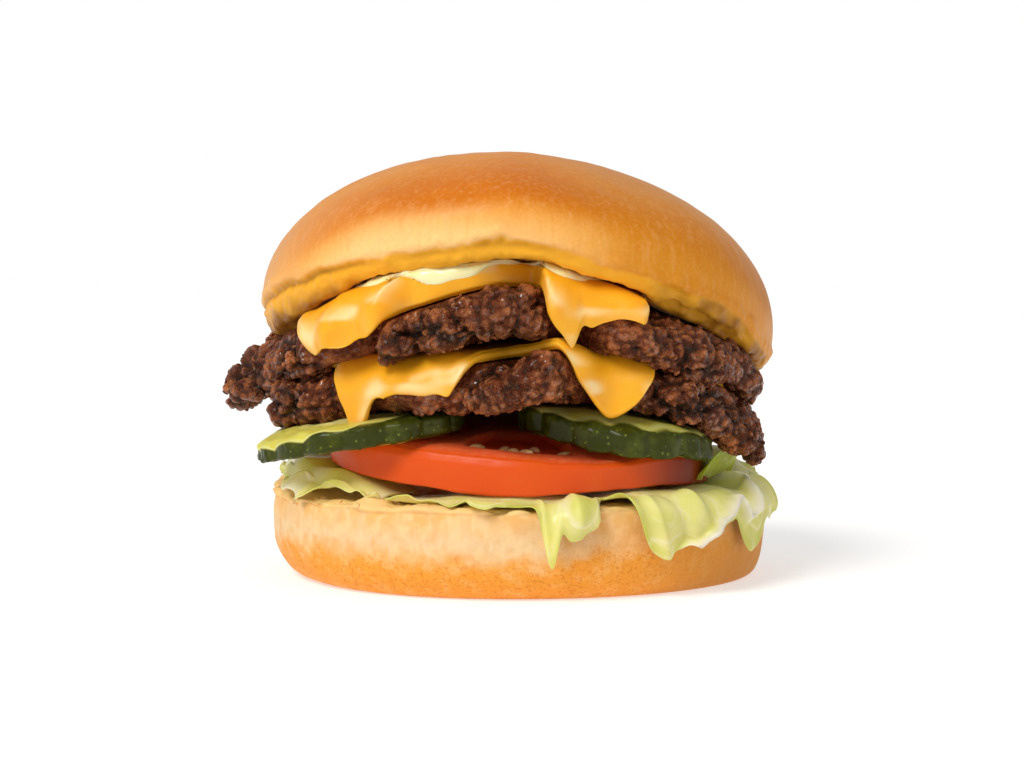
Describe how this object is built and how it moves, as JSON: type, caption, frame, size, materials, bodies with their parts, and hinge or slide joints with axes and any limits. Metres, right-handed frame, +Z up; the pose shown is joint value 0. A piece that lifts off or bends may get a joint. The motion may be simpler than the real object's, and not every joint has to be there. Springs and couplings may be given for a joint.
{
  "type": "double cheeseburger",
  "caption": "Cheeseburger of stacked smashed beef patties and melted cheese slices with tomato, pickles and frilled lettuce, in a soft glazed bun that leans to one side.",
  "frame": {"origin": "on the flat base that the bottom bun stands on, under the bun's middle", "axes": "+Z up through the bun, -Y towards the front with the cheese corners and the pickles, +X to the front's right, where the top bun droops"},
  "size_m": [0.1202, 0.1157, 0.0913],
  "materials": {
    "bun_top_crust": null,
    "bun_bottom_crust": null,
    "beef": null,
    "cheese": null,
    "tomato": null,
    "pickle": null,
    "lettuce": null
  },
  "bodies": {
    "root": {"bun_bottom": "bun_bottom_crust", "lettuce_left": "lettuce", "lettuce_front": "lettuce", "lettuce_right": "lettuce", "lettuce_inner": "lettuce", "lettuce_back_right": "lettuce", "lettuce_back_left": "lettuce", "tomato": "tomato", "pickle_left": "pickle", "pickle_right": "pickle", "patty_lower": "beef", "cheese_lower": "cheese", "patty_upper": "beef", "cheese_upper": "cheese", "bun_top": "bun_top_crust"}
  },
  "joints": []
}
